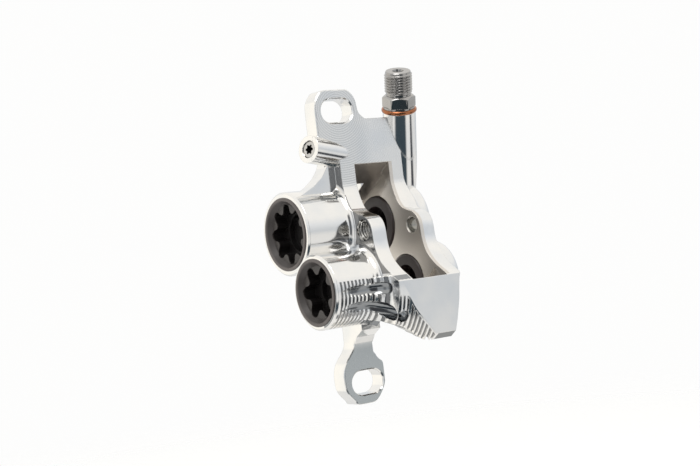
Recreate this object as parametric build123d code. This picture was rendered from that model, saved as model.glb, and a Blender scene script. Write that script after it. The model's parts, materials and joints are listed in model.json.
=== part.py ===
from build123d import *
import math
import os

os.makedirs("parts", exist_ok=True)

# Frame: X runs along the pistons towards the wheel side, Y along the mounting bolts
# towards the fork, Z from the lower ear to the upper ear. The origin is midway between
# the two mounting slots, on the ears' front faces. All sizes are in millimetres.

# Mounting ears
slot_spacing = 74.0
slot_width = 6.5
slot_length = 10.2
slot_edge = 0.4
ear_edge = 0.3
ear_depth = 5.0
# Each ear is a chain of curves in X and Z: the points, then the directions at both ends.
upper_ear_base = [(10.4, 34.5), (10.4, 27.0), (-7.2, 27.0), (-7.2, 37.2)]
upper_ear_left = [(-7.2, 37.2), (-6.6, 40.3), (-5.2, 42.1), (-3.0, 42.8)]
upper_ear_right = [
    (3.0, 42.8), (5.1, 41.9), (6.5, 39.8), (6.9, 37.4), (7.5, 35.9), (8.8, 34.8), (10.4, 34.5)
]
lower_ear_base = [(3.0, -26.4), (3.0, -19.0), (-3.1, -19.0), (-3.1, -25.6)]
lower_ear_left = [
    (-3.1, -25.6), (-4.0, -28.2), (-6.2, -30.7), (-7.4, -33.2), (-7.6, -36.4), (-6.9, -39.2),
    (-4.6, -41.9), (-1.2, -42.8),
]
lower_ear_toe = [(0.6, -42.8), (3.4, -41.6), (5.2, -39.2), (5.9, -36.6)]
lower_ear_heel = [(5.9, -33.6), (5.5, -31.9), (4.4, -31.0), (3.4, -29.5), (3.0, -26.4)]
neck_ramp = [(0.0, -26.4), (-1.4, -24.4), (-4.2, -22.6), (-4.2, -20.0), (5.0, -18.0), (5.0, -26.4)]

# Piston bores: centres in the Y-Z plane, on a line that leans with the rotor's edge
large_y = 8.6
large_z = 5.2
small_y = -2.6
small_z = -11.0
large_piston_r = 8.0
small_piston_r = 7.0
running_gap = 0.03
seal_gap = 0.01

# Walls along X
near_wall_x = 3.7
far_wall_x = 15.3
rotor_x = (near_wall_x + far_wall_x) / 2
near_arm_x = -1.0
far_arm_x = 20.0
near_end_x = -15.55
near_end_edge = 0.5
far_end_x = 26.6
bore_floor_x = 24.6
large_body_r = 11.4
small_body_r = 10.1
far_rounding = 2.2

# Side outline of the arms, the bridge and the upper block (Y, Z)
block_top_z = 34.5
block_back_y = 14.0
block_back_r = 4.0
block_top_r = 5.0
rim_lead = (-0.82, -0.57)
rim_points = [
    (0.0, 17.2), (-0.25, 15.6), (-0.75, 13.9), (-1.75, 11.5), (-3.0, 9.7), (-5.2, 8.4),
    (-8.2, 7.5), (-10.1, 5.8), (-10.85, 3.2), (-11.0, 0.8), (-11.7, -2.1), (-13.2, -4.7),
    (-15.8, -7.2), (-20.3, -10.2),
]
plate_y = -20.3
plate_bottom_z = -25.2
heel = (-18.0, -26.8)
underside_points = [(-16.6, -26.4), (-13.6, -24.7), (-10.2, -22.7), (-6.4, -21.3), (-2.6, -21.05)]
underside_lead = (0.86, 0.5)
back_points = [(-2.6, -21.05), (4.0, -14.0), (8.6, -3.0), (block_back_y, 6.0)]

# Taper of the lower bridge seen along the rotor's radius (X, distance along the lean)
bridge_taper = [
    (near_arm_x, -18.0), (near_arm_x, -34.0), (15.2, -34.0), (16.0, -31.5), (17.1, -28.8),
    (18.3, -24.9), (19.1, -20.5), (20.2, -18.0),
]
far_taper = [(16.6, -19.6), (16.6, -30.0), (17.1, -28.8), (18.3, -24.9), (19.4, -21.8), (23.2, -19.6)]
# The bridge's near flank is turned about the lower bores' axis: (X, radius).
skirt_points = [
    (0.3, 17.7), (1.9, 17.95), (3.4, 18.8), (5.4, 20.0), (7.3, 21.2), (9.2, 22.7), (11.0, 24.3),
]
skirt_lead = (1.0, 0.88)
# The flank's lower edge in X and Z on the plane Y = flank_edge_y; behind it the underside
# rises by flank_rise per millimetre.
flank_edge = [(-0.5, -21.8), (1.35, -22.5), (3.4, -23.7), (5.4, -25.3), (7.3, -26.5), (8.4, -27.0)]
flank_edge_y = -17.0
flank_rise = 0.25

# Pad pocket and rotor slot
pocket_up = 18.9
pocket_down = 19.2
land_half = 14.6
relief_depth = 0.9
relief_front = 12.0
relief_reach = 16.0
rotor_path_r = 82.0
rotor_slot_half = 1.9
axle_offset = 72.0
edge_break = 0.3

# Bore caps
cap_flange = 0.35
large_cap_r = 9.98
small_cap_r = 9.06
large_thread_r = 9.0
small_thread_r = 8.05
thread_end_x = -9.4
large_nose_r = 8.7
small_nose_r = 7.75
nose_end_x = -6.8
bore_step_x = -6.6
nose_gap = 0.03
cap_groove_start = -8.9
cap_groove_width = 1.5
cap_groove_depth = 1.1
cap_seal_rounding = 0.42
cap_rim = 0.8
cap_bevel_depth = 1.5
cap_bevel_inset = 0.2
# Each star socket: lobes, radius at the tips, radius in the valleys.
large_star = (8, 8.1, 5.9)
small_star = (6, 7.2, 4.7)
lobe_sharpness = 1.5
lobe_bias = 0.3
lobe_points = 8
star_depth = 5.2
star_well_depth = 6.8
large_well_r = 5.2
small_well_r = 3.9
cap_edge = 0.2

# Pistons and their square seals
piston_proud = 0.3
piston_length = 8.4
piston_edge = 0.35
# Each cup: mouth radius, throat radius, depth of the mouth, depth of the throat.
large_cup = (5.1, 4.0, 4.0, 6.6)
small_cup = (4.3, 3.6, 3.4, 6.2)
seal_width = 2.2
seal_start = 2.4
large_seal_wall = 1.8
small_seal_wall = 1.5
large_groove_r = large_piston_r + large_seal_wall
small_groove_r = small_piston_r + small_seal_wall

# Pad screw holes
pad_screw_y = -7.1
pad_screw_z = 4.0
insert_hole_r = 2.85
insert_bore_r = 2.1
insert_wire = 0.55
insert_wall = 0.25
insert_pitch = 0.95
insert_turns = 4
insert_start_x = -0.55
far_pad_hole_r = 2.0
hole_edge = 0.35

# Bleed screw and its boss
boss_x = -9.8
boss_y = 1.35
boss_z = 27.2
boss_r = 3.75
boss_slope_y = 0.2
boss_slope_z = -0.165
boss_length = 15.5
bleed_r = 2.35
bleed_length = 7.0
bleed_gap = 0.04
bleed_sunk = 0.25
bleed_star = (6, 1.4, 1.0)
bleed_star_depth = 2.2
bleed_edge = 0.3
bleed_groove_start = 4.4
bleed_groove_width = 1.2
bleed_groove_depth = 0.7
bleed_seal_rounding = 0.28
bleed_nose_r = 1.5
bleed_nose_length = 0.8
gallery_r = 1.1
gallery_inset = 1.2
gallery_drop = 15.0
riser_depth = 8.2
riser_r = 0.9

# Hose port, washer and hose fitting
port_x = 21.1
port_y = 0.0
port_z = 36.0
port_slope_x = -0.17
port_slope_y = -0.36
port_r = 4.65
port_drop = 26.0
port_thread_r = 3.2
port_thread_depth = 7.0
port_drill_r = 1.0
port_drill_depth = 25.0
washer_r = 4.95
washer_gap = 0.15
washer_thickness = 1.1
washer_rounding = 0.45
washer_bore_r = port_thread_r + washer_gap
hex_across = 8.2
hex_height = 3.2
hex_turn = 25.0
hex_chamfer = 0.7
hex_chamfer_inset = 0.35
collar_r = 4.4
collar_height = 0.5
neck_r = 3.45
neck_height = 0.5
hose_thread_r = 3.9
hose_thread_pitch = 0.75
hose_thread_turns = 8
hose_thread_depth = 0.35
hose_thread_crest = 0.12
hose_thread_lead = 0.35
hose_bore_r = 1.25
hose_mouth_r = 1.6
hose_mouth_depth = 0.8
fitting_shank_depth = 6.0

# Web between the large cylinder and the bleed boss
fin_points = [(-12.6, 15.2), (-8.4, 17.2), (-5.6, 19.3), (-3.6, 21.9), (-2.2, 25.5), (0.0, 25.5), (0.0, 12.0)]
fin_front_y = 3.0
fin_back_y = 8.0

# Grooves milled round the lower cylinder and down the bridge's flank
# Each row: X of the first groove, pitch, count.
groove_rows = [(-13.9, 1.2, 14), (2.95, 0.97, 7)]
groove_width = 0.6
groove_depth = 0.28
groove_top_z = -8.7
groove_front_y = -20.0
groove_back_y = -5.0
groove_low_z = -30.0

# Two pockets milled across the grooves with a ball cutter, each in a plane through the
# lower cylinder's axis: the plane's angle below the front, then the cutter's path as
# (X, distance from that axis), for the wide cutter and for the narrow one.
wide_cutter_r = 2.1
narrow_cutter_r = 0.95
pockets = [
    (
        3.0,
        [(-14.4, 12.2), (-10.5, 11.6), (-6.5, 11.4), (-4.5, 12.1), (-3.1, 13.9)],
        [(-6.4, 10.3), (-4.5, 10.8), (-3.2, 11.9), (-2.5, 13.4)],
    ),
    (
        29.0,
        [(-14.4, 12.2), (-10.5, 11.6), (-6.5, 11.4), (-3.4, 12.7), (-0.8, 14.7), (0.9, 16.4)],
        [(-6.0, 10.3), (-3.6, 11.2), (-1.2, 13.1), (1.0, 15.4)],
    ),
]

# Concave sweeps between the cylinders and the arms: near side, far side and lower flank
near_flare = 2.0
flare_reach = 4.2
flare_width = 3.0
flare_root = 1.0
flank_reach = 7.6
flank_width = 5.7
# Handle length that makes a cubic curve follow a quarter of an ellipse
round_share = 0.5523

# How far a cutter runs past what it cuts, and a reach that clears the whole caliper
overrun = 1.0
whole_reach = upper_ear_right[0][1] - lower_ear_toe[0][1]

lean_run = math.hypot(large_y - small_y, large_z - small_z)
lean_y = (large_y - small_y) / lean_run
lean_z = (large_z - small_z) / lean_run
mid_y = (large_y + small_y) / 2
mid_z = (large_z + small_z) / 2

# Local x is X, local y points to the wheel's axle and local z climbs along the lean.
pad_plane = Plane(origin=(rotor_x, mid_y, mid_z), x_dir=(1, 0, 0), z_dir=(0, lean_y, lean_z))


def along_x(y, z, r, x0, x1):
    """A cylinder parallel to X."""
    disc = Plane.YZ.offset(x0) * Pos(y, z) * Circle(r)
    return extrude(disc, amount=x1 - x0)


def cone_x(y, z, r0, r1, x0, x1):
    """A cone parallel to X."""
    base = Plane.YZ.offset(x0) * Pos(y, z) * Circle(r0)
    top = Plane.YZ.offset(x1) * Pos(y, z) * Circle(r1)
    return loft([base, top])


def slab_y(points, y0, y1):
    """A flat outline in X and Z, extruded along Y."""
    sheet = Plane.XZ.offset(-y0) * make_face(Polyline(*points, close=True))
    return extrude(sheet, amount=y0 - y1)


def slab_x(points, x0, x1):
    """A flat outline in Y and Z, extruded along X."""
    sheet = Plane.YZ.offset(x0) * make_face(Polyline(*points, close=True))
    return extrude(sheet, amount=x1 - x0)


def turned(points, plane):
    """A solid of revolution about a plane's z axis from (radius, height) points."""
    section = make_face(Plane.XZ * Polyline(*points, close=True))
    return plane.location * revolve(section, Axis.Z)


def star_face(lobes, outer, inner):
    """A smooth lobed outline."""
    count = lobes * lobe_points
    high = math.tanh(lobe_sharpness + lobe_bias)
    low = math.tanh(lobe_bias - lobe_sharpness)
    points = []
    for i in range(count):
        angle = 2 * math.pi * i / count
        swell = math.tanh(lobe_sharpness * math.cos(lobes * angle) + lobe_bias)
        r = inner + (outer - inner) * (swell - low) / (high - low)
        points.append((r * math.cos(angle), r * math.sin(angle)))
    return make_face(Spline(*points, periodic=True))


def pad_box(x0, x1, toward_axle0, toward_axle1, up0, up1):
    """A box in the pad frame, between the given limits."""
    size = (x1 - x0, toward_axle1 - toward_axle0, up1 - up0)
    centre = ((x0 + x1) / 2 - rotor_x, (toward_axle0 + toward_axle1) / 2, (up0 + up1) / 2)
    return pad_plane.location * Pos(*centre) * Box(*size)


def axis_plane(x, y, z, slope_x, slope_y, slope_z):
    """A plane whose z axis follows the slopes."""
    return Plane(origin=(x, y, z), x_dir=(1, 0, 0), z_dir=(slope_x, slope_y, slope_z))


port_plane = axis_plane(port_x, port_y, port_z, port_slope_x, port_slope_y, 1)
boss_plane = Plane(
    origin=(boss_x, boss_y, boss_z), x_dir=(0, 1, 0), z_dir=(-1, -boss_slope_y, -boss_slope_z)
)


def upper_ear_face():
    """The upper ear's outline."""
    left = Spline(*upper_ear_left, tangents=[(0, 1), (1, 0)])
    top = Line(upper_ear_left[-1], upper_ear_right[0])
    right = Spline(*upper_ear_right, tangents=[(1, 0), (1, 0)])
    return make_face([Polyline(*upper_ear_base), left, top, right])


def lower_ear_face():
    """The lower ear's outline."""
    left = Spline(*lower_ear_left, tangents=[(0, -1), (1, 0)])
    bottom = Line(lower_ear_left[-1], lower_ear_toe[0])
    toe = Spline(*lower_ear_toe, tangents=[(1, 0), (0, 1)])
    side = Line(lower_ear_toe[-1], lower_ear_heel[0])
    top = Spline(*lower_ear_heel, tangents=[(0, 1), (0, 1)])
    return make_face([Polyline(*lower_ear_base), left, bottom, toe, side, top])


def ear_slab(face):
    """An ear as deep as both ears are, with its front edges broken."""
    slab = extrude(Plane.XZ * face, amount=-ear_depth)
    front = slab.edges().group_by(Axis.Y)[0]
    return chamfer(front, ear_edge)


def arm_flare(y, z, r, side_x, turn, reach, width):
    """The concave sweep from a cylinder out to an arm's face, inside the arm's outline."""
    base_x = side_x + turn * width
    keep = extrude(Plane.YZ.offset(min(side_x, base_x)) * side_face(), amount=width)
    tip = (r, turn * width)
    curve = Bezier(
        (r + reach, 0),
        (r + reach * (1 - round_share), 0),
        (r, turn * width * (1 - round_share)),
        tip,
    )
    sides = Polyline(tip, (r - flare_root, turn * width), (r - flare_root, 0), (r + reach, 0))
    ring = Rot(0, 0, -90) * revolve(make_face([curve, sides]), Axis.Y)
    return (Pos(side_x, y, z) * ring) & keep


def side_face():
    """The outline of the arms, bridge and upper block."""
    rim = Spline(*rim_points, tangents=[(0, -1), rim_lead])
    plate = Polyline(rim_points[-1], (plate_y, plate_bottom_z), heel, underside_points[0])
    underside = Spline(*underside_points, tangents=[underside_lead, (1, 0)])
    back = Polyline(*back_points, (block_back_y, block_top_z - block_top_r))
    corner = RadiusArc(back @ 1, (block_back_y - block_top_r, block_top_z), -block_top_r)
    top = Polyline(corner @ 1, (0, block_top_z), rim_points[0])
    return make_face([rim, plate, underside, back, corner, top])


def plan_slab():
    """The outline of the block from above, with its two back corners rounded."""
    width = far_arm_x - near_arm_x
    depth = block_back_y - plate_y
    outline = Pos(near_arm_x + width / 2, plate_y + depth / 2) * Rectangle(width, depth)
    corners = outline.vertices().group_by(Axis.Y)[-1]
    outline = fillet(corners, block_back_r)
    return extrude(Plane.XY * outline, amount=block_top_z - heel[1], both=True)


def body_shell():
    """The outside of the caliper before the pocket and the bores."""
    side = Plane.YZ.offset(near_arm_x) * side_face()
    core = extrude(side, amount=far_arm_x - near_arm_x)
    core = core & plan_slab()
    shell = trim_below(core & near_skirt(), bridge_taper)
    flank = arm_flare(small_y, small_z, small_body_r, near_arm_x, -1, flank_reach, flank_width)
    ledge = Pos(near_arm_x, small_y, groove_top_z - whole_reach / 2)
    shell = shell + (flank & ledge * Box(whole_reach, whole_reach, whole_reach))
    shell = shell - under_flank()
    shell = shell + near_half()
    shell = shell + far_half()
    shell = shell + ear_slab(upper_ear_face())
    shell = shell + ear_slab(lower_ear_face())
    shell = shell + slab_x(neck_ramp, lower_ear_base[-1][0], lower_ear_base[0][0])
    shell = shell + arm_flare(
        large_y, large_z, large_body_r, far_arm_x, 1, flare_reach, flare_width
    )
    far_flare = arm_flare(small_y, small_z, small_body_r, far_arm_x, 1, flare_reach, flare_width)
    shell = shell + trim_below(far_flare, far_taper)
    for y, z, r in ((large_y, large_z, large_body_r), (small_y, small_z, small_body_r)):
        shell = shell + arm_flare(y, z, r, near_arm_x, -1, near_flare, near_flare)
    shell = shell - flank_grooves(shell)
    for angle, wide_path, narrow_path in pockets:
        shell = shell - milled_path(angle, wide_path, wide_cutter_r)
        shell = shell - milled_path(angle, narrow_path, narrow_cutter_r)
    shell = shell + slab_y(fin_points, fin_front_y, fin_back_y)
    boss = boss_plane.location * Pos(0, 0, -boss_length / 2) * Cylinder(boss_r, boss_length)
    shell = shell + boss
    return shell


def near_skirt():
    """Everything above the bridge, and below it what lies inside the turned flank."""
    edge = Spline(*skirt_points, tangents=[(1, 0), skirt_lead])
    first_x, first_r = skirt_points[0]
    last_x, last_r = skirt_points[-1]
    start_x = near_arm_x - overrun
    end_x = far_arm_x + overrun
    sides = Polyline(
        (last_x, last_r), (end_x, last_r), (end_x, 0), (start_x, 0), (start_x, first_r), (first_x, first_r)
    )
    turned_flank = Pos(0, small_y, small_z) * revolve(make_face([edge, sides]), Axis.X)
    start = bridge_taper[0][1]
    above = pad_box(start_x, end_x, -whole_reach, whole_reach, start, whole_reach)
    return turned_flank + above


def under_flank():
    """What the sloping cut below the near flank removes, up to the lower cylinder's axis."""
    first_x, first_z = flank_edge[0]
    last_x, last_z = flank_edge[-1]
    left_x = near_arm_x - flank_width - overrun
    low_z = heel[1] - whole_reach
    edge = Spline(*flank_edge)
    sides = Polyline(
        (last_x, last_z), (last_x, low_z), (left_x, low_z), (left_x, first_z), (first_x, first_z)
    )
    sheet = Plane.XZ.offset(-flank_edge_y) * make_face([edge, sides])
    run = small_y - flank_edge_y
    back = extrude(sheet, amount=run, dir=(0, 1, flank_rise))
    front = extrude(sheet, amount=flank_edge_y - plate_y + overrun, dir=(0, -1, -flank_rise))
    return back + front


def flank_grooves(shell):
    """Rings at even steps, outside a copy of the shell that has sunk by the grooves' depth."""
    ring = Box(
        groove_width,
        groove_back_y - groove_front_y,
        groove_top_z - groove_low_z,
        align=(Align.CENTER, Align.MIN, Align.MIN),
    )
    rings = None
    for first_x, pitch, count in groove_rows:
        for i in range(count):
            step = Pos(first_x + i * pitch, groove_front_y, groove_low_z) * ring
            rings = step if rings is None else rings + step
    return rings - Pos(0, groove_depth, groove_depth) * shell


def milled_path(angle, path, r):
    """What a ball cutter removes along a path."""
    lean = math.radians(angle)
    plane = Plane(
        origin=(0, small_y, small_z), x_dir=(1, 0, 0), z_dir=(0, math.sin(lean), -math.cos(lean))
    )
    line = plane.location * Spline(*path)
    start = Plane(origin=line @ 0, z_dir=line % 0)
    cut = sweep(start * Circle(r), path=line)
    return cut + Pos(*(line @ 1)) * Sphere(r)


def trim_below(shape, taper):
    """The shape, cut to an outline in X and the lean where it is below the outline's top."""
    start = taper[0][1]
    plane = Plane(origin=(0, mid_y, mid_z), x_dir=(1, 0, 0), z_dir=(0, lean_z, -lean_y))
    lower = pad_box(near_end_x, far_end_x, -whole_reach, whole_reach, -whole_reach, start)
    outline = [(x, -t) for x, t in taper]
    keep = extrude(plane * make_face(Polyline(*outline, close=True)), amount=whole_reach, both=True)
    return (shape - lower) + (shape & lower & keep)


def near_half():
    """The two open cylinders on the outer side, with their rims broken."""
    half = None
    for y, z, r in ((large_y, large_z, large_body_r), (small_y, small_z, small_body_r)):
        cylinder = along_x(y, z, r, near_end_x, near_wall_x)
        rim = cylinder.edges().filter_by(GeomType.CIRCLE).group_by(Axis.X)[0]
        cylinder = chamfer(rim, near_end_edge)
        half = cylinder if half is None else half + cylinder
    return half


def far_half():
    """The closed bores on the wheel side, with rounded ends."""
    large = along_x(large_y, large_z, large_body_r, far_wall_x, far_end_x)
    small = along_x(small_y, small_z, small_body_r, far_wall_x, far_end_x)
    half = large + small
    ends = half.edges().filter_by(GeomType.CIRCLE).group_by(Axis.X)[-1]
    half = fillet(ends, far_rounding)
    column = port_plane.location * Pos(0, 0, -port_drop / 2) * Cylinder(port_r, port_drop)
    beyond = pad_box(far_end_x, far_end_x + port_r, -whole_reach, whole_reach, -whole_reach, whole_reach)
    return half + (column - beyond)


def bore_cut(y, z, piston_r, groove_r, thread_r, nose_r):
    """Everything bored for one pair of pistons, from the cap to the far floor."""
    cut = along_x(y, z, thread_r, near_end_x - overrun, thread_end_x)
    cut = cut + along_x(y, z, nose_r + nose_gap, thread_end_x, bore_step_x)
    cut = cut + along_x(y, z, piston_r + running_gap, bore_step_x, bore_floor_x)
    near_groove_x = near_wall_x - seal_start - seal_width
    far_groove_x = far_wall_x + seal_start
    cut = cut + along_x(y, z, groove_r, near_groove_x, near_groove_x + seal_width)
    cut = cut + along_x(y, z, groove_r, far_groove_x, far_groove_x + seal_width)
    bevel_r = piston_r + running_gap
    cut = cut + cone_x(y, z, bevel_r, bevel_r + edge_break, near_wall_x - edge_break, near_wall_x)
    cut = cut + cone_x(y, z, bevel_r + edge_break, bevel_r, far_wall_x, far_wall_x + edge_break)
    return cut


def pad_pocket():
    """The pad pocket, its end reliefs and the path of the rotor."""
    cut = pad_box(near_wall_x, far_wall_x, -whole_reach, whole_reach, -pocket_down, pocket_up)
    for low, high in ((land_half, pocket_up), (-pocket_down, -land_half)):
        cut = cut + pad_box(
            near_wall_x - relief_depth, far_wall_x + relief_depth, -relief_front, relief_reach, low, high
        )
    axle_y = mid_y + lean_z * axle_offset
    axle_z = mid_z - lean_y * axle_offset
    cut = cut + along_x(
        axle_y, axle_z, rotor_path_r, rotor_x - rotor_slot_half, rotor_x + rotor_slot_half
    )
    return cut


def slot_cut(z):
    """One mounting slot, with broken edges on the front face."""
    outline = SlotOverall(slot_length, slot_width)
    through = extrude(Plane.XZ.offset(overrun) * Pos(0, z) * outline, amount=-ear_depth - 2 * overrun)
    wide = SlotOverall(slot_length + 2 * slot_edge, slot_width + 2 * slot_edge)
    front = Plane.XZ * Pos(0, z) * wide
    inner = Plane.XZ.offset(-slot_edge) * Pos(0, z) * outline
    return through + loft([front, inner])


def tilted_hole(plane, r, depth):
    """A drilled hole going down a plane's z axis."""
    return plane.location * Pos(0, 0, -depth / 2) * Cylinder(r, depth)


def down_axis(plane, depth):
    """The point at a depth below a plane, on its z axis."""
    return (plane.location * Pos(0, 0, -depth)).position


def link_hole(start, end, r):
    """A drilled passage between two points."""
    run = [b - a for a, b in zip(start, end)]
    length = math.hypot(*run)
    plane = Plane(origin=start, z_dir=tuple(run))
    return plane.location * Pos(0, 0, length / 2) * Cylinder(r, length)


def make_body():
    """The one-piece caliper body."""
    body = body_shell()
    body = body - bore_cut(large_y, large_z, large_piston_r, large_groove_r, large_thread_r, large_nose_r)
    body = body - bore_cut(small_y, small_z, small_piston_r, small_groove_r, small_thread_r, small_nose_r)
    body = body - pad_pocket()
    for z in (slot_spacing / 2, -slot_spacing / 2):
        body = body - slot_cut(z)
    y, z = pad_screw_y, pad_screw_z
    body = body - along_x(y, z, insert_hole_r, near_arm_x - flank_width, near_wall_x + overrun)
    body = body - along_x(y, z, far_pad_hole_r, far_wall_x - overrun, far_arm_x + flare_width)
    wide_r = far_pad_hole_r + hole_edge
    body = body - cone_x(y, z, wide_r, far_pad_hole_r, far_wall_x, far_wall_x + hole_edge)
    body = body - tilted_hole(boss_plane, bleed_r + bleed_gap, bleed_length)
    seat = down_axis(boss_plane, bleed_length - gallery_r)
    body = body - link_hole(seat, down_axis(port_plane, gallery_drop), gallery_r)
    body = body - tilted_hole(port_plane, port_thread_r, port_thread_depth)
    body = body - tilted_hole(port_plane, port_drill_r, port_drill_depth)
    for x in (nose_end_x + gallery_inset, bore_floor_x - gallery_inset):
        body = body - link_hole((x, large_y, large_z), (x, small_y, small_z), gallery_r)
    riser_top = down_axis(boss_plane, riser_depth)
    body = body - link_hole(riser_top, (nose_end_x + gallery_inset, large_y, large_z), riser_r)
    return body


def make_cap(y, z, flange_r, thread_r, nose_r, star, well_r):
    """A screwed bore cap with a lobed socket."""
    face_x = near_end_x - cap_flange
    cap = along_x(y, z, flange_r, face_x, near_end_x)
    cap = chamfer(cap.edges().filter_by(GeomType.CIRCLE).group_by(Axis.X)[0], cap_edge)
    cap = cap + along_x(y, z, thread_r, near_end_x, thread_end_x)
    cap = cap + along_x(y, z, nose_r, thread_end_x, nose_end_x)
    ring = along_x(y, z, nose_r + overrun, cap_groove_start, cap_groove_start + cap_groove_width)
    ring = ring - along_x(y, z, nose_r - cap_groove_depth, cap_groove_start - overrun, nose_end_x)
    cap = cap - ring
    bevel_r = flange_r - cap_rim
    lobes, outer, inner = star
    cap = cap - cone_x(y, z, bevel_r, outer - cap_bevel_inset, face_x, face_x + cap_bevel_depth)
    socket = Plane.YZ.offset(face_x) * Pos(y, z) * star_face(lobes, outer, inner)
    cap = cap - extrude(socket, amount=star_depth)
    cap = cap - along_x(y, z, well_r, face_x, face_x + star_well_depth)
    return cap


def make_cap_seal(y, z, nose_r):
    """The ring in a cap's groove."""
    x0 = cap_groove_start
    x1 = cap_groove_start + cap_groove_width
    outer = along_x(y, z, nose_r + nose_gap, x0, x1)
    ring = outer - along_x(y, z, nose_r - cap_groove_depth, x0 - overrun, x1 + overrun)
    corners = ring.edges().filter_by(GeomType.CIRCLE)
    return fillet(corners, cap_seal_rounding)


def make_piston(y, z, r, cup, face_x, side):
    """A hollow piston; side is 1 when it opens towards the rotor along +X."""
    mouth_r, throat_r, throat_depth, cup_depth = cup
    back_x = face_x - side * piston_length
    piston = along_x(y, z, r, min(face_x, back_x), max(face_x, back_x))
    piston = chamfer(piston.edges().filter_by(GeomType.CIRCLE), piston_edge)
    mouth_x = face_x - side * throat_depth
    throat_x = face_x - side * cup_depth
    piston = piston - along_x(y, z, mouth_r, min(mouth_x, face_x), max(mouth_x, face_x))
    piston = piston - along_x(y, z, throat_r, min(throat_x, face_x), max(throat_x, face_x))
    return piston


def make_seal(y, z, piston_r, groove_r, x0):
    """A square seal round a piston."""
    ring = along_x(y, z, groove_r, x0, x0 + seal_width)
    return ring - along_x(y, z, piston_r + seal_gap, x0 - overrun, x0 + seal_width + overrun)


def make_insert():
    """The wire thread insert in the near arm."""
    y, z = pad_screw_y, pad_screw_z
    core_r = insert_hole_r - insert_wall
    insert = None
    for i in range(insert_turns):
        x0 = insert_start_x + i * insert_pitch
        x1 = x0 + insert_pitch
        ring = along_x(y, z, insert_hole_r, x0, x1) - along_x(y, z, core_r, x0 - overrun, x1 + overrun)
        crest = along_x(y, z, insert_hole_r, x0, x0 + insert_wire)
        crest = crest - along_x(y, z, insert_bore_r, x0 - overrun, x1)
        ring = ring + crest
        insert = ring if insert is None else insert + ring
    return insert


def make_washer():
    """The crush washer under the hose fitting."""
    ring = Cylinder(washer_r, washer_thickness) - Cylinder(washer_bore_r, washer_thickness + overrun)
    rim = ring.edges().filter_by(GeomType.CIRCLE).sort_by(SortBy.RADIUS)[-2:]
    ring = fillet(rim, washer_rounding)
    return port_plane.location * Pos(0, 0, washer_thickness / 2) * ring


def make_fitting():
    """The double-ended hose fitting."""
    base = washer_thickness
    collar = Pos(0, 0, base + collar_height / 2) * Cylinder(collar_r, collar_height)
    hex_z = base + collar_height
    hexagon = Rot(0, 0, hex_turn) * RegularPolygon(hex_across / 2, 6, major_radius=False)
    nut = Pos(0, 0, hex_z) * extrude(hexagon, amount=hex_height)
    corner_r = hex_across / 2 / math.cos(math.pi / 6)
    dome = turned(
        [
            (0, hex_z),
            (corner_r + overrun, hex_z),
            (corner_r + overrun, hex_z + hex_height - hex_chamfer),
            (corner_r, hex_z + hex_height - hex_chamfer),
            (hex_across / 2 - hex_chamfer_inset, hex_z + hex_height),
            (0, hex_z + hex_height),
        ],
        Plane.XY,
    )
    nut = nut & dome
    top = hex_z + hex_height
    core_r = hose_thread_r - hose_thread_depth
    points = [(0, top - overrun), (neck_r, top - overrun), (neck_r, top + neck_height)]
    height = top + neck_height
    for i in range(hose_thread_turns):
        points.append((core_r, height))
        crest = height + (hose_thread_pitch - hose_thread_crest) / 2
        points.append((hose_thread_r, crest))
        points.append((hose_thread_r, crest + hose_thread_crest))
        height = height + hose_thread_pitch
    points.append((core_r, height))
    height = height + hose_thread_lead
    points.append((core_r, height))
    points.append((0, height))
    threads = turned(points, Plane.XY)
    shank_depth = fitting_shank_depth
    shank = Pos(0, 0, (base - shank_depth) / 2) * Cylinder(port_thread_r, shank_depth + base)
    fitting = collar + nut + threads + shank
    bore = Pos(0, 0, (height - shank_depth) / 2) * Cylinder(hose_bore_r, height + shank_depth + 2 * overrun)
    low = height - hose_mouth_depth
    mouth = turned([(0, height), (hose_mouth_r, height), (hose_bore_r, low), (0, low)], Plane.XY)
    fitting = fitting - bore - mouth
    return port_plane.location * fitting


def make_bleed():
    """The bleed screw."""
    length = bleed_length - bleed_sunk - bleed_nose_length
    screw = Pos(0, 0, -bleed_sunk - length / 2) * Cylinder(bleed_r, length)
    head = screw.edges().filter_by(GeomType.CIRCLE).sort_by(Axis.Z)[-1]
    screw = chamfer(head, bleed_edge)
    nose = Pos(0, 0, -bleed_sunk - length - bleed_nose_length / 2) * Cylinder(bleed_nose_r, bleed_nose_length)
    screw = screw + nose
    lobes, outer, inner = bleed_star
    socket = Pos(0, 0, -bleed_sunk) * star_face(lobes, outer, inner)
    screw = screw - extrude(socket, amount=-bleed_star_depth)
    groove_z = -bleed_groove_start - bleed_groove_width / 2
    groove = Cylinder(bleed_r + overrun, bleed_groove_width) - Cylinder(
        bleed_r - bleed_groove_depth, bleed_groove_width + overrun
    )
    screw = screw - Pos(0, 0, groove_z) * groove
    return boss_plane.location * screw


def make_bleed_seal():
    """The ring in the bleed screw's groove."""
    ring = Cylinder(bleed_r, bleed_groove_width) - Cylinder(
        bleed_r - bleed_groove_depth, bleed_groove_width + overrun
    )
    ring = fillet(ring.edges().filter_by(GeomType.CIRCLE), bleed_seal_rounding)
    return boss_plane.location * Pos(0, 0, -bleed_groove_start - bleed_groove_width / 2) * ring


near_face_x = near_wall_x + piston_proud
far_face_x = far_wall_x - piston_proud
near_seal_x = near_wall_x - seal_start - seal_width
far_seal_x = far_wall_x + seal_start

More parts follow.
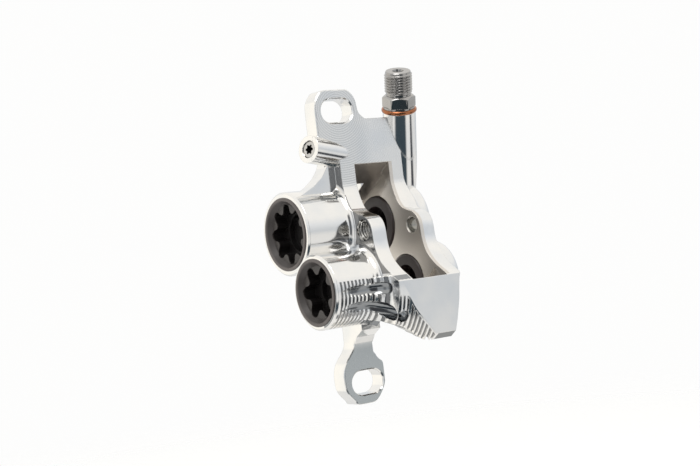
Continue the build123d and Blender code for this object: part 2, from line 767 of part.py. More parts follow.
parts = {
    "caliper_body": make_body(),
    "bore_cap_large": make_cap(
        large_y, large_z, large_cap_r, large_thread_r, large_nose_r, large_star, large_well_r
    ),
    "bore_cap_small": make_cap(
        small_y, small_z, small_cap_r, small_thread_r, small_nose_r, small_star, small_well_r
    ),
    "cap_seal_large": make_cap_seal(large_y, large_z, large_nose_r),
    "cap_seal_small": make_cap_seal(small_y, small_z, small_nose_r),
    "piston_large_outboard": make_piston(large_y, large_z, large_piston_r, large_cup, near_face_x, 1),
    "piston_large_inboard": make_piston(large_y, large_z, large_piston_r, large_cup, far_face_x, -1),
    "piston_small_outboard": make_piston(small_y, small_z, small_piston_r, small_cup, near_face_x, 1),
    "piston_small_inboard": make_piston(small_y, small_z, small_piston_r, small_cup, far_face_x, -1),
    "piston_seal_large_outboard": make_seal(large_y, large_z, large_piston_r, large_groove_r, near_seal_x),
    "piston_seal_large_inboard": make_seal(large_y, large_z, large_piston_r, large_groove_r, far_seal_x),
    "piston_seal_small_outboard": make_seal(small_y, small_z, small_piston_r, small_groove_r, near_seal_x),
    "piston_seal_small_inboard": make_seal(small_y, small_z, small_piston_r, small_groove_r, far_seal_x),
    "pad_screw_insert": make_insert(),
    "crush_washer": make_washer(),
    "hose_fitting": make_fitting(),
    "bleed_screw": make_bleed(),
    "bleed_screw_seal": make_bleed_seal(),
}

for name, shape in parts.items():
    export_step(shape, f"parts/{name}.step")
    print(name, round(shape.volume, 1), len(shape.solids()))
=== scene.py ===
import bpy
import bmesh
import json
import math
from mathutils import Matrix, Vector


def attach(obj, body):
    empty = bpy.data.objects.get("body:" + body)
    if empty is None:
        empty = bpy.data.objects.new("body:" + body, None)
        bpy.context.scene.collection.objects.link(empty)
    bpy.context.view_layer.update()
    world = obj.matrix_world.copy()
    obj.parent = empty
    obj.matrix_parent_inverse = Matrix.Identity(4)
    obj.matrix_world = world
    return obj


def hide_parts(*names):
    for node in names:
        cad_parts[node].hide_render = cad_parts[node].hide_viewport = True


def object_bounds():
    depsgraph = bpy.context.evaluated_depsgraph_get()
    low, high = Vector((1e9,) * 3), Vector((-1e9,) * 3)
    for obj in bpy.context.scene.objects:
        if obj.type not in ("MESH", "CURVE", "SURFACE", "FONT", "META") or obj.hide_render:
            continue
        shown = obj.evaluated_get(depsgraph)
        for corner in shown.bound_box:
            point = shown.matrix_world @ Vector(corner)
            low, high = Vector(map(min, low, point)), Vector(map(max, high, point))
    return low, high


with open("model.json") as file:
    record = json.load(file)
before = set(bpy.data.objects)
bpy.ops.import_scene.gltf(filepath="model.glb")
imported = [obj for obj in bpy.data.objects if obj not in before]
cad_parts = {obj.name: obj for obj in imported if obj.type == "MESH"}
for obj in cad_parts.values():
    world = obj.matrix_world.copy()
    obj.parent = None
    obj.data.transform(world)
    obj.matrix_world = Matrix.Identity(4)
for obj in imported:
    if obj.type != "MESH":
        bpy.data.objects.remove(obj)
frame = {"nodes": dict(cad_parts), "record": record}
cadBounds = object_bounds()
print("frame loaded")

mm = 0.001
nodes = frame["nodes"]
bevelSamples = 6
cloudDetail = 2.0
grainDetail = 3.0

# the view: the camera looks across the caliper with a long lens, rolled a little
viewSettings = {
    "azimuth": math.radians(35.172),
    "elevation": math.radians(-0.024),
    "roll": math.radians(-6.562),
    "right": 0.732 * mm,
    "down": -3.594 * mm,
    "distance": 372.999 * mm,
    "lens": 70.74,
    "sensor": 36.0,
    "nearest": 10 * mm,
}


def makeCamera(s):
    a, e, r = s["azimuth"], s["elevation"], s["roll"]
    forward = Vector((math.sin(a) * math.cos(e), math.cos(a) * math.cos(e), -math.sin(e)))
    level = Vector((math.cos(a), -math.sin(a), 0))
    upright = level.cross(forward)
    side = level * math.cos(r) + upright * math.sin(r)
    top = upright * math.cos(r) - level * math.sin(r)
    place = -(side * s["right"] + top * s["down"] + forward * s["distance"])
    turn = Matrix((side, top, -forward)).transposed()
    data = bpy.data.cameras.new("photoCamera")
    data.lens = s["lens"]
    data.sensor_width = s["sensor"]
    data.sensor_fit = "HORIZONTAL"
    data.clip_start = s["nearest"]
    camera = bpy.data.objects.new("photoCamera", data)
    camera.matrix_world = Matrix.Translation(place) @ turn.to_4x4()
    bpy.context.scene.collection.objects.link(camera)
    bpy.context.scene.camera = camera


# shader maths: a wire is one socket, and sums on wires add the nodes they need
class Wire:
    def __init__(self, tree, socket):
        self.tree = tree
        self.socket = socket

    def join(self, operation, first, second=None):
        node = self.tree.nodes.new("ShaderNodeMath")
        node.operation = operation
        for slot, value in ((0, first), (1, second)):
            if isinstance(value, Wire):
                self.tree.links.new(value.socket, node.inputs[slot])
            elif value is not None:
                node.inputs[slot].default_value = value
        return Wire(self.tree, node.outputs[0])

    def __add__(self, other):
        return self.join("ADD", self, other)

    def __radd__(self, other):
        return self.join("ADD", other, self)

    def __sub__(self, other):
        return self.join("SUBTRACT", self, other)

    def __rsub__(self, other):
        return self.join("SUBTRACT", other, self)

    def __mul__(self, other):
        return self.join("MULTIPLY", self, other)

    def __truediv__(self, other):
        return self.join("DIVIDE", self, other)

    def __gt__(self, other):
        return self.join("GREATER_THAN", self, other)

    def __lt__(self, other):
        return self.join("LESS_THAN", self, other)

    def do(self, operation, other=None):
        return self.join(operation, self, other)

    def clamp(self):
        node = self.tree.nodes.new("ShaderNodeClamp")
        self.tree.links.new(self.socket, node.inputs[0])
        return Wire(self.tree, node.outputs[0])

    def step(self, low, high):
        node = self.tree.nodes.new("ShaderNodeMapRange")
        node.interpolation_type = "SMOOTHSTEP"
        self.tree.links.new(self.socket, node.inputs["Value"])
        node.inputs["From Min"].default_value = low
        node.inputs["From Max"].default_value = high
        return Wire(self.tree, node.outputs["Result"])


# a material or world and the few ways its nodes are added
class Finish:
    def __init__(self, owner):
        self.owner = owner
        self.owner.use_nodes = True
        self.tree = owner.node_tree
        self.tree.nodes.clear()

    def add(self, kind, settings=None, outlet=0, **sockets):
        node = self.tree.nodes.new(kind)
        for key, value in (settings or {}).items():
            if key == "stops":
                ramp = node.color_ramp
                while len(ramp.elements) < len(value):
                    ramp.elements.new(0.5)
                for element, (place, colour) in zip(ramp.elements, value):
                    element.position = place
                    element.color = (*colour, 1)
            else:
                setattr(node, key, value)
        for key, value in sockets.items():
            self.plug(node.inputs[key.replace("_", " ")], value)
        return Wire(self.tree, node.outputs[outlet])

    def plug(self, socket, value):
        if isinstance(value, Wire):
            self.tree.links.new(value.socket, socket)
        elif value is not None:
            socket.default_value = value

    def mixColour(self, share, first, second):
        node = self.tree.nodes.new("ShaderNodeMix")
        node.data_type = "RGBA"
        self.plug(node.inputs[0], share)
        for socket, value in ((node.inputs[6], first), (node.inputs[7], second)):
            self.plug(socket, value if isinstance(value, Wire) else (*value, 1))
        return Wire(self.tree, node.outputs[2])

    def place(self):
        return self.add("ShaderNodeTexCoord", outlet="Object")

    def parts(self, vector):
        node = self.tree.nodes.new("ShaderNodeSeparateXYZ")
        self.tree.links.new(vector.socket, node.inputs[0])
        return [Wire(self.tree, node.outputs[i]) for i in range(3)]

    def noise(self, scale, detail=cloudDetail):
        return self.add("ShaderNodeTexNoise", Vector=self.place(), Scale=scale, Detail=detail)

    def soften(self, radius):
        return self.add("ShaderNodeBevel", {"samples": bevelSamples}, Radius=radius)

    def coat(self, tone, gloss, metal, normal):
        return self.end(self.add(
            "ShaderNodeBsdfPrincipled",
            Base_Color=tone,
            Roughness=gloss,
            Metallic=metal,
            Normal=normal,
        ))

    def end(self, surface):
        output = self.tree.nodes.new("ShaderNodeOutputMaterial")
        self.tree.links.new(surface.socket, output.inputs[0])
        return self.owner


def newFinish(name):
    return Finish(bpy.data.materials.new(name))


def between(value, low, high):
    return (value > low) * (value < high)


# distance from a middle, in the plane of two axes
def reach(first, second, middle):
    across, up = first - middle[0], second - middle[1]
    return (across * across + up * up).do("SQRT")


# polished body: mirror-bright metal with milled front faces and a duller pad pocket; some
# tones stand for what lies in shade in the photo
bodySettings = {
    "colour": (0.90, 0.885, 0.86),
    "shade": (0.80, 0.81, 0.82),
    "shadeFrom": (0.35, 0.7),
    "cloudScale": 90.0,
    "fineScale": 900.0,
    "gloss": 0.11,
    "wander": 0.05,
    "fineWander": 0.04,
    "edge": 0.22 * mm,
    "grain": 0.003 * mm,
    "faceDepth": 0.14 * mm,
}
# pad pocket: a slot across X, leaning along the line from the lower to the upper bores
# its darker, warmer colour is painted shade and warm reflection; its higher roughness is its own
# duller finish
pocketSettings = {
    # painted shade and warm reflection in the pad pocket
    "colour": (0.72, 0.68, 0.63),
    "gloss": 0.38,
    "across": (3.62 * mm, 16.4 * mm),
    "along": (-19.5 * mm, 19.0 * mm),
    "front": -19.9 * mm,
    "lean": (0.569, 0.822),
    "middle": (3.0 * mm, -2.9 * mm),
}
# milled faces: rings round the upper slot that fade towards the hose column, and a plain
# lower ear
# the lower ear's darker grey-blue tone is painted shade
milledSettings = {
    "from": (12 * mm, 18 * mm),
    "earFrom": (-28.5 * mm, -24.0 * mm),
    # painted shade on the lower ear's front
    "earShade": (0.50, 0.525, 0.53),
    "gloss": 0.27,
    "pitch": 0.62 * mm,
    "middle": (0, 37 * mm),
    "share": 0.6,
    "colour": (0.55, 0.56, 0.56),
    "fades": (6 * mm, 11 * mm),
    "fadeShare": 0.75,
    "smooth": 0.8,
}
# ribbed flank: rows of grooves as first X, pitch and count; they lie on the small cylinder
# and on the flare that widens it towards the arm, and the pockets' floors lie below that
# the near-black groove floors and the darker sunk pocket floors are painted shade
flankSettings = {
    "rows": [(-13.9 * mm, 1.2 * mm, 14), (2.95 * mm, 0.97 * mm, 7)],
    "halfWidth": 0.294 * mm,
    # painted shade in the groove floors
    "colour": (0.055, 0.06, 0.065),
    "share": 0.8,
    "deep": 0.45 * mm,
    "bore": (-2.6 * mm, -11.0 * mm),
    "radius": 10.1 * mm,
    "flareFrom": -6.7 * mm,
    "flareSize": (5.7 * mm, 7.6 * mm),
    "top": -8.7 * mm,
    "across": (-19.9 * mm, -5.0 * mm),
    "sunkDeep": 2.4 * mm,
    "sunkEnd": 3.4 * mm,
    # painted shade on the sunk pocket floors
    "sunkShade": (0.30, 0.31, 0.32),
}
# small areas in shade: the near arm's land, the lip under the plate and the far pad hole
shadedSettings = {
    "landX": -1.0 * mm,
    "landZ": (-8.0 * mm, 14.0 * mm),
    "landColour": (0.30, 0.30, 0.30),
    "lipTop": -25.05 * mm,
    "lipFrom": 10.0 * mm,
    "lipAcross": (-20.2 * mm, -15.0 * mm),
    "lipColour": (0.22, 0.225, 0.225),
    "hole": (-7.1 * mm, 4.0 * mm),
    "holeRadius": 2.2 * mm,
    "holeFrom": 15.4 * mm,
    "holeColour": (0.34, 0.33, 0.3),
}


# masks of the groove floors, and of the floors of the pockets sunk between them, where painted
# shade goes
def flankCuts(s, x, y, z):
    rows = None
    for first, pitch, count in s["rows"]:
        step = (x - first) / pitch
        nearest = step.do("ROUND")
        row = ((step - nearest).do("ABSOLUTE") * pitch) < s["halfWidth"]
        row = row * between(nearest, -0.5, count - 0.5)
        rows = row if rows is None else rows.do("MAXIMUM", row)
    radius = reach(y, z, s["bore"])
    run, rise = s["flareSize"]
    share = ((x - s["flareFrom"]) / run).clamp()
    flare = (1 - (1 - share * share).do("SQRT")) * rise + s["radius"]
    flank = between(y, *s["across"]) * (z < s["top"])
    floors = between(radius, s["radius"] - s["sunkDeep"], flare - s["deep"])
    floors = floors * (x < s["sunkEnd"])
    return rows * flank * (radius > flare - s["deep"]), floors * flank


def millRings(s, x, z):
    turns = 2 * math.pi / s["pitch"]
    rings = (reach(x, z.do("ABSOLUTE"), s["middle"]) * turns).do("SINE") * 0.5 + 0.5
    return rings * (1 - x.step(*s["fades"]) * s["fadeShare"])


def polishedMetal(s, pad, mill, flank, shaded):
    m = newFinish("polishedBody")
    x, y, z = m.parts(m.place())
    cloud = m.noise(s["cloudScale"], grainDetail)
    fine = m.noise(s["fineScale"])
    along = (y - pad["middle"][0]) * pad["lean"][0] + (z - pad["middle"][1]) * pad["lean"][1]
    pocket = between(x, *pad["across"]) * between(along, *pad["along"]) * (y > pad["front"])
    front = y.do("ABSOLUTE") < s["faceDepth"]
    upper = front * z.step(*mill["from"])
    lower = front * (1 - z.step(*mill["earFrom"]))
    groove, sunk = flankCuts(flank, x, y, z)
    land = ((x - shaded["landX"]).do("ABSOLUTE") < s["faceDepth"]) * between(z, *shaded["landZ"])
    lip = (z < shaded["lipTop"]) * (x > shaded["lipFrom"]) * between(y, *shaded["lipAcross"])
    hole = (reach(y, z, shaded["hole"]) < shaded["holeRadius"]) * (x > shaded["holeFrom"])
    tone = m.mixColour(cloud.step(*s["shadeFrom"]), s["colour"], s["shade"])
    for mask, colour in (
        # painted shade and warm reflection in the pad pocket
        (pocket, pad["colour"]),
        # painted shade: the lower ear's front is darker grey-blue
        (lower, mill["earShade"]),
        (millRings(mill, x, z) * upper * mill["share"], mill["colour"]),
        # painted shade in the groove floors and on the sunk pocket floors
        (groove * flank["share"], flank["colour"]),
        (sunk, flank["sunkShade"]),
        (land, shaded["landColour"]),
        (lip, shaded["lipColour"]),
        (hole, shaded["holeColour"]),
    ):
        tone = m.mixColour(mask, tone, colour)
    gloss = s["gloss"] + (cloud - 0.5) * s["wander"] + (fine - 0.5) * s["fineWander"]
    gloss = gloss + (upper + lower) * (mill["gloss"] - s["gloss"])
    gloss = gloss + pocket * (pad["gloss"] - s["gloss"])
    height = fine * (1 - upper * mill["smooth"])
    soft = m.soften(s["edge"])
    bump = m.add("ShaderNodeBump", Height=height, Distance=s["grain"], Normal=soft)
    return m.coat(tone, gloss, 1.0, bump)


# bore caps: brown-black anodising, paler on the front rim, with painted shade: black down the
# socket
capSettings = {
    "face": -15.9 * mm,
    "rim": (0.1, 0.085, 0.08),
    "rimDepth": (0.12 * mm, 0.36 * mm),
    "bevel": (0.04, 0.034, 0.032),
    "worn": (0.052, 0.0442, 0.0416),
    "wornFrom": 0.3,
    # painted shade down the socket
    "deep": (0.006, 0.005, 0.005),
    "capShadeFrom": (1.2 * mm, 1.95 * mm),
    "cloudScale": 220.0,
    "fineScale": 1500.0,
    "gloss": 0.36,
    "wander": 0.1,
    "edge": 0.1 * mm,
    "grain": 0.004 * mm,
}


def capAnodising(s):
    m = newFinish("anodisedCap")
    cloud = m.noise(s["cloudScale"])
    fine = m.noise(s["fineScale"], grainDetail)
    depth = m.parts(m.place())[0] - s["face"]
    tone = m.mixColour(depth.step(*s["rimDepth"]), s["rim"], s["bevel"])
    tone = m.mixColour((cloud - s["wornFrom"]).clamp(), tone, s["worn"])
    # painted shade: near-black down the socket
    tone = m.mixColour(depth.step(*s["capShadeFrom"]), tone, s["deep"])
    soft = m.soften(s["edge"])
    bump = m.add("ShaderNodeBump", Height=fine, Distance=s["grain"], Normal=soft)
    return m.coat(tone, s["gloss"] + (cloud - 0.5) * s["wander"], 0.0, bump)


# small metal pieces: one tone that wanders towards a darker one
metalSettings = {"cloudScale": 150.0, "darkFrom": (0.3, 0.75), "dark": 0.82, "wander": 0.1}
springSettings = {"colour": (0.52, 0.51, 0.49), "gloss": 0.25, "edge": 0.08 * mm}
copperSettings = {"colour": (0.44, 0.17, 0.08), "gloss": 0.2, "edge": 0.15 * mm}
turnedSettings = {"colour": (0.44, 0.43, 0.42), "gloss": 0.14, "edge": 0.03 * mm}


def plainMetal(name, own, s=metalSettings):
    m = newFinish(name)
    cloud = m.noise(s["cloudScale"])
    dark = tuple(c * s["dark"] for c in own["colour"])
    tone = m.mixColour(cloud.step(*s["darkFrom"]), own["colour"], dark)
    gloss = own["gloss"] + (cloud - 0.5) * s["wander"]
    return m.coat(tone, gloss, 1.0, m.soften(own["edge"]))


# bleed screw: bright steel, with painted shade: black down its socket
bleedSettings = {
    "end": (-9.8 * mm, 1.35 * mm, 27.2 * mm),
    "axis": (-1.0, -0.2, 0.165),
    "socket": 1.38 * mm,
    "sunk": 0.3 * mm,
    "colour": (0.55, 0.54, 0.53),
    # painted shade down the socket
    "deep": (0.004, 0.004, 0.004),
    "cloudScale": 500.0,
    "gloss": 0.2,
    "wander": 0.1,
    "edge": 0.08 * mm,
    "grain": 0.003 * mm,
}


def bleedSteel(s):
    m = newFinish("bleedSteel")
    axis = Vector(s["axis"]).normalized()

    def vectorMath(operation, first, second=None, outlet=0):
        wire = m.add("ShaderNodeVectorMath", {"operation": operation}, outlet=outlet)
        inlets = wire.socket.node.inputs
        m.plug(inlets[0], first)
        m.plug(inlets[1], second)
        return wire

    offset = vectorMath("SUBTRACT", m.place(), s["end"])
    height = vectorMath("DOT_PRODUCT", offset, axis, "Value")
    side = vectorMath("CROSS_PRODUCT", offset, axis)
    radius = vectorMath("LENGTH", side, outlet="Value")
    # painted shade: the socket inside the screw is near-black and not metallic
    socketShade = (radius < s["socket"]) * (height < -s["sunk"])
    tone = m.mixColour(socketShade, s["colour"], s["deep"])
    cloud = m.noise(s["cloudScale"])
    soft = m.soften(s["edge"])
    bump = m.add("ShaderNodeBump", Height=cloud, Distance=s["grain"], Normal=soft)
    return m.coat(tone, s["gloss"] + (cloud - 0.5) * s["wander"], 1 - socketShade, bump)


# rubber and phenolic: a dark tone that wanders towards a paler one, with a fine grain
softSettings = {
    "cloudScale": 220.0,
    "fineScale": 1500.0,
    "paleFrom": (0.3, 0.75),
    "pale": 1.5,
    "wander": 0.12,
}
phenolicSettings = {
    "colour": (0.022, 0.015, 0.014),
    "gloss": 0.42,
    "edge": 0.12 * mm,
    "grain": 0.006 * mm,
}
rubberSettings = {
    "colour": (0.012, 0.012, 0.012),
    "gloss": 0.5,
    "edge": 0.08 * mm,
    "grain": 0.004 * mm,
}


def softFinish(name, own, s=softSettings):
    m = newFinish(name)
    fine = m.noise(s["fineScale"], grainDetail)
    cloud = m.noise(s["cloudScale"])
    pale = tuple(c * s["pale"] for c in own["colour"])
    tone = m.mixColour(cloud.step(*s["paleFrom"]), own["colour"], pale)
    soft = m.soften(own["edge"])
    bump = m.add("ShaderNodeBump", Height=fine, Distance=own["grain"], Normal=soft)
    return m.coat(tone, own["gloss"] + (cloud - 0.5) * s["wander"], 0.0, bump)


def dress(name, material):
    data = nodes[name].data
    data.materials.clear()
    data.materials.append(material)


polished = polishedMetal(
    bodySettings, pocketSettings, milledSettings, flankSettings, shadedSettings
)
darkCap = capAnodising(capSettings)
phenolic = softFinish("groundPhenolic", phenolicSettings)
blackRubber = softFinish("sealRubber", rubberSettings)
springSteel = plainMetal("springSteel", springSettings)
copper = plainMetal("crushCopper", copperSettings)
turnedSteel = plainMetal("turnedSteel", turnedSettings)
finishes = {
    "body": polished,
    "bore_cap": darkCap,
    "cap_seal": blackRubber,
    "piston": phenolic,
    "piston_seal": blackRubber,
    "insert": springSteel,
    "washer": copper,
    "fitting": turnedSteel,
    "bleed_screw": bleedSteel(bleedSettings),
    "bleed_seal": blackRubber,
}
for part in frame["record"]["subparts"]:
    dress(part["node"], finishes[part["material_slot"]])
print("finishes on")


def addPiece(name, mesh, node, slotName):
    piece = bpy.data.objects.new(name, mesh)
    bpy.context.scene.collection.objects.link(piece)
    if not mesh.materials:
        mesh.materials.append(finishes[slotName])
    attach(piece, "caliper")
    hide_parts(node)


# hose fitting: a chamfered hexagon and a cut thread that really climbs; heights are from
# the port's seat
fittingSettings = {
    "seat": (21.1 * mm, 0.0, 36.0 * mm),
    "climb": (-0.17, -0.36, 1.0),
    "around": 96,
    "washer": 1.1 * mm,
    "collar": (4.4 * mm, 0.5 * mm),
    "hexAcross": 8.2 * mm,
    "hexHeight": 3.2 * mm,
    "hexTurn": math.radians(25),
    "hexChamfer": 0.7 * mm,
    "hexInset": 0.35 * mm,
    "hexRows": 6,
    "neck": (3.45 * mm, 0.5 * mm),
    "threadRadius": 3.9 * mm,
    "threadDepth": 0.38 * mm,
    "threadPitch": 0.75 * mm,
    "threadTurns": 8,
    "threadRows": 10,
    "threadCrest": 1.25,
    "threadSlope": 3.2,
    "threadRunOut": 0.5 * mm,
    "lead": 0.35 * mm,
    "tip": 0.15 * mm,
    "sharp": math.radians(32),
    "mouth": (1.6 * mm, 0.8 * mm),
    "bore": 1.25 * mm,
    "boreDepth": 6.0 * mm,
}


def fittingRows(s):
    hexFoot = s["washer"] + s["collar"][1]
    hexTop = hexFoot + s["hexHeight"]
    corner = s["hexAcross"] / 2 / math.cos(math.pi / 6)
    rows = [
        (s["bore"], s["washer"], None),
        (s["collar"][0], s["washer"], None),
        (s["collar"][0], hexFoot, None),
        (corner, hexFoot, "hex"),
        (corner, hexTop - s["hexChamfer"], "hex"),
    ]
    for i in range(1, s["hexRows"] + 1):
        share = i / s["hexRows"]
        radius = corner + (s["hexAcross"] / 2 - s["hexInset"] - corner) * share
        rows.append((radius, hexTop - s["hexChamfer"] * (1 - share), "hex"))
    rows += [(s["neck"][0], hexTop, None), (s["neck"][0], hexTop + s["neck"][1], None)]
    foot = hexTop + s["neck"][1]
    count = s["threadTurns"] * s["threadRows"]
    length = s["threadTurns"] * s["threadPitch"]
    for i in range(count + 1):
        rows.append((s["threadRadius"], foot + length * i / count, "thread"))
    top = foot + length + s["lead"]
    core = s["threadRadius"] - s["threadDepth"]
    rows += [
        (core, top - s["tip"], None),
        (core - s["tip"], top, None),
        (s["mouth"][0], top, None),
        (s["bore"], top - s["mouth"][1], None),
        (s["bore"], top - s["boreDepth"], None),
    ]
    return rows, foot, foot + length


def fittingRadius(s, angle, radius, height, kind, low, high):
    if kind == "hex":
        part = (angle - s["hexTurn"]) % (math.pi / 3) - math.pi / 6
        return min(radius, s["hexAcross"] / 2 / math.cos(part))
    if kind == "thread":
        phase = ((height - low) / s["threadPitch"] - angle / (2 * math.pi)) % 1
        crest = min(1, max(0, s["threadCrest"] - abs(phase - 0.5) * s["threadSlope"]))
        fade = min(1, max(0, min(high - height, height - low) / s["threadRunOut"]))
        return radius - s["threadDepth"] * (1 - crest * fade)
    return radius


def makeFitting(s):
    rows, low, high = fittingRows(s)
    shape = bmesh.new()
    climb = Vector(s["climb"]).normalized()
    level = (Vector((1, 0, 0)) - climb * climb.x).normalized()
    stand = Matrix((level, climb.cross(level), climb)).transposed().to_4x4()
    stand = Matrix.Translation(s["seat"]) @ stand
    around = s["around"]
    rings = []
    for radius, height, kind in rows:
        ring = []
        for i in range(around):
            angle = 2 * math.pi * i / around
            r = fittingRadius(s, angle, radius, height, kind, low, high)
            point = Vector((r * math.cos(angle), r * math.sin(angle), height))
            ring.append(shape.verts.new(stand @ point))
        rings.append(ring)
    for lower, upper in zip(rings, rings[1:]):
        for i in range(around):
            j = (i + 1) % around
            shape.faces.new((lower[i], lower[j], upper[j], upper[i]))
    shape.faces.new(rings[-1])
    shape.faces.new(list(reversed(rings[0])))
    bmesh.ops.recalc_face_normals(shape, faces=shape.faces)
    mesh = bpy.data.meshes.new("hoseFitting")
    shape.to_mesh(mesh)
    shape.free()
    mesh.set_sharp_from_angle(angle=s["sharp"])
    for face in mesh.polygons:
        face.use_smooth = True
    addPiece("hoseFitting", mesh, "hose_fitting", "fitting")


makeFitting(fittingSettings)
print("hose fitting cut")


# wire insert: one wire of diamond section wound into the pad screw hole
coilSettings = {
    "start": (-0.5 * mm, -7.1 * mm, 4.0 * mm),
    "radius": 2.46 * mm,
    "wire": 0.37 * mm,
    "turns": 4.0,
    "pitch": 0.78 * mm,
    "steps": 48,
    "sides": 4,
}


def makeCoil(s):
    tree = bpy.data.node_groups.new("wireCoil", "GeometryNodeTree")
    face = tree.interface
    inlets = {}
    for name, kind in (
        ("Radius", "NodeSocketFloat"),
        ("Wire", "NodeSocketFloat"),
        ("Turns", "NodeSocketFloat"),
        ("Height", "NodeSocketFloat"),
        ("Finish", "NodeSocketMaterial"),
    ):
        inlets[name] = face.new_socket(name, in_out="INPUT", socket_type=kind).identifier
    face.new_socket("Geometry", in_out="OUTPUT", socket_type="NodeSocketGeometry")
    start = tree.nodes.new("NodeGroupInput")
    end = tree.nodes.new("NodeGroupOutput")
    spiral = tree.nodes.new("GeometryNodeCurveSpiral")
    spiral.inputs["Resolution"].default_value = s["steps"]
    profile = tree.nodes.new("GeometryNodeCurvePrimitiveCircle")
    profile.inputs["Resolution"].default_value = s["sides"]
    sweep = tree.nodes.new("GeometryNodeCurveToMesh")
    sweep.inputs["Fill Caps"].default_value = True
    real = tree.nodes.new("GeometryNodeRealizeInstances")
    finish = tree.nodes.new("GeometryNodeSetMaterial")
    link = tree.links.new
    link(start.outputs["Radius"], spiral.inputs["Start Radius"])
    link(start.outputs["Radius"], spiral.inputs["End Radius"])
    link(start.outputs["Turns"], spiral.inputs["Rotations"])
    link(start.outputs["Height"], spiral.inputs["Height"])
    link(start.outputs["Wire"], profile.inputs["Radius"])
    link(spiral.outputs["Curve"], sweep.inputs["Curve"])
    link(profile.outputs["Curve"], sweep.inputs["Profile Curve"])
    link(sweep.outputs["Mesh"], real.inputs["Geometry"])
    link(real.outputs["Geometry"], finish.inputs["Geometry"])
    link(start.outputs["Finish"], finish.inputs["Material"])
    link(finish.outputs["Geometry"], end.inputs["Geometry"])

    holder = bpy.data.objects.new("coilHolder", bpy.data.meshes.new("coilHolder"))
    bpy.context.scene.collection.objects.link(holder)
    modifier = holder.modifiers.new("coil", "NODES")
    modifier.node_group = tree
    modifier[inlets["Radius"]] = s["radius"]
    modifier[inlets["Wire"]] = s["wire"]
    modifier[inlets["Turns"]] = s["turns"]
    modifier[inlets["Height"]] = s["pitch"] * s["turns"]
    modifier[inlets["Finish"]] = finishes["insert"]
    seen = holder.evaluated_get(bpy.context.evaluated_depsgraph_get())
    mesh = bpy.data.meshes.new_from_object(seen)
    bpy.data.objects.remove(holder)
    turn = Matrix.Rotation(math.pi / 2, 4, "Y")
    mesh.transform(Matrix.Translation(s["start"]) @ turn)
    addPiece("wireInsert", mesh, "pad_screw_insert", "insert")


makeCoil(coilSettings)
print("wire insert wound")


# the set: a pale floor that fades out at its rim, and a pale tent with dark cards in it;
# mirrors don't see the floor, and the camera sees plain paper behind the part
stageSettings = {
    "floorDrop": 50 * mm,
    "floorReach": 500 * mm,
    "floorSides": 64,
    "floorFades": (125 * mm, 450 * mm),
    "floorColour": (0.93, 0.93, 0.925),
    "floorFleck": (0.9393, 0.9393, 0.93425),
    "fleckScale": 400.0,
    "floorGloss": 0.9,
    "paper": (0.985, 0.985, 0.98),
    "light": (1.0, 0.99, 0.97),
    "tent": [
        (0.0, (0.93, 0.92, 0.90)),
        (0.42, (0.80, 0.80, 0.79)),
        (0.50, (0.62, 0.65, 0.68)),
        (0.62, (0.82, 0.84, 0.86)),
        (0.75, (1.0, 0.985, 0.95)),
        (1.0, (1.0, 0.985, 0.95)),
    ],
    "cardRim": (0.75, 1.1),
    "cardBlur": 0.05,
    "brightCard": (1.12, 1.09, 1.02),
    "tealCard": (0.045, 0.065, 0.08),
    "darkCard": (0.05, 0.055, 0.065),
}
# cards round the tent: middle (degrees from +Y towards +X), half width, lowest and
# highest z, tone and strength
cardPlaces = [
    (-38, 34, -0.45, 0.45, "brightCard", 1.0),
    (-148, 47, -0.78, -0.42, "tealCard", 1.0),
    (-52, 9, -0.4, -0.2, "darkCard", 0.6),
    (120, 15, -0.53, -0.33, "darkCard", 1.0),
    (-160, 20, -0.35, 0.5, "darkCard", 0.9),
    (-100, 9, -0.3, 0.4, "darkCard", 0.5),
    (97, 12, -0.86, -0.78, "darkCard", 0.9),
]


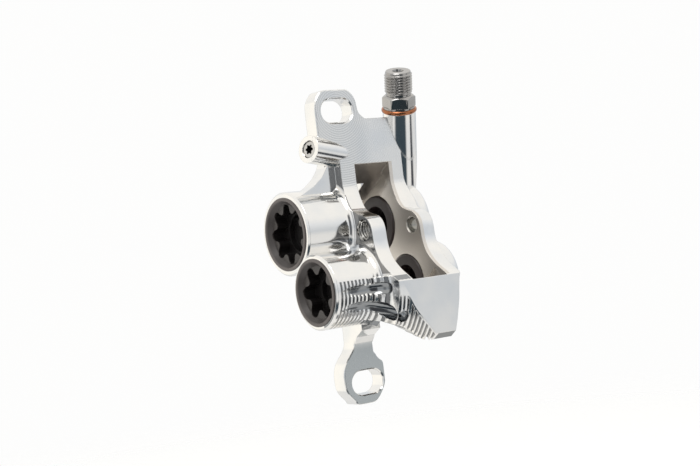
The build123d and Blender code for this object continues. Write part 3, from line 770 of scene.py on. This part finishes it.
def makeFloor(s):
    mesh = bpy.data.meshes.new("paperFloor")
    shape = bmesh.new()
    bmesh.ops.create_circle(
        shape, cap_ends=True, segments=s["floorSides"], radius=s["floorReach"]
    )
    shape.to_mesh(mesh)
    shape.free()
    low = cadBounds[0][2] - s["floorDrop"]
    mesh.transform(Matrix.Translation((0, 0, low)))
    floor = bpy.data.objects.new("paperFloor", mesh)
    bpy.context.scene.collection.objects.link(floor)
    m = newFinish("floorPaper")
    x, y = m.parts(m.place())[:2]
    far = reach(x, y, (0, 0)).step(*s["floorFades"])
    colour = m.mixColour(m.noise(s["fleckScale"]), s["floorColour"], s["floorFleck"])
    paper = m.add("ShaderNodeBsdfPrincipled", Base_Color=colour, Roughness=s["floorGloss"])
    clear = m.add("ShaderNodeBsdfTransparent")
    mix = m.tree.nodes.new("ShaderNodeMixShader")
    glossy = Wire(m.tree, m.tree.nodes.new("ShaderNodeLightPath").outputs["Is Glossy Ray"])
    m.plug(mix.inputs[0], far.do("MAXIMUM", glossy))
    m.tree.links.new(paper.socket, mix.inputs[1])
    m.tree.links.new(clear.socket, mix.inputs[2])
    mesh.materials.append(m.end(Wire(m.tree, mix.outputs[0])))


def makeTent(s, cards):
    world = bpy.data.worlds.new("lightTent")
    bpy.context.scene.world = world
    w = Finish(world)
    x, y, z = w.parts(w.add("ShaderNodeTexCoord", outlet="Generated"))
    azimuth = x.do("ARCTAN2", y)
    seen = w.add("ShaderNodeValToRGB", {"stops": s["tent"]}, Fac=z * 0.5 + 0.5)
    blur = s["cardBlur"]
    for centre, half, low, high, tone, weight in cards:
        gap = (azimuth - math.radians(centre)).do("ABSOLUTE")
        gap = gap.do("MINIMUM", 2 * math.pi - gap)
        across = 1 - gap.step(*(math.radians(half * share) for share in s["cardRim"]))
        tall = z.step(low - blur, low + blur) * (1 - z.step(high - blur, high + blur))
        seen = w.mixColour(across * tall * weight, seen, s[tone])
    path = w.tree.nodes.new("ShaderNodeLightPath")
    camera = Wire(w.tree, path.outputs["Is Camera Ray"])
    glossy = Wire(w.tree, path.outputs["Is Glossy Ray"])
    colour = w.mixColour(glossy, s["light"], seen)
    colour = w.mixColour(camera, colour, s["paper"])
    background = w.add("ShaderNodeBackground", Color=colour, Strength=1.0)
    output = w.tree.nodes.new("ShaderNodeOutputWorld")
    w.tree.links.new(background.socket, output.inputs[0])


# one broad lamp above the camera, a little to its left
lampSettings = {
    "place": (-250 * mm, -250 * mm, 550 * mm),
    "aim": (5 * mm, 0, 0),
    "size": 350 * mm,
    "power": 1.2,
}


def makeLamp(name, s):
    data = bpy.data.lights.new(name, "AREA")
    data.shape = "DISK"
    data.size = s["size"]
    data.energy = s["power"]
    lamp = bpy.data.objects.new(name, data)
    aim = (Vector(s["aim"]) - Vector(s["place"])).to_track_quat("-Z", "Y")
    lamp.matrix_world = Matrix.Translation(s["place"]) @ aim.to_matrix().to_4x4()
    bpy.context.scene.collection.objects.link(lamp)


makeCamera(viewSettings)
makeFloor(stageSettings)
makeTent(stageSettings, cardPlaces)
makeLamp("topLamp", lampSettings)
bpy.context.scene.view_settings.view_transform = "Standard"
print("set built")
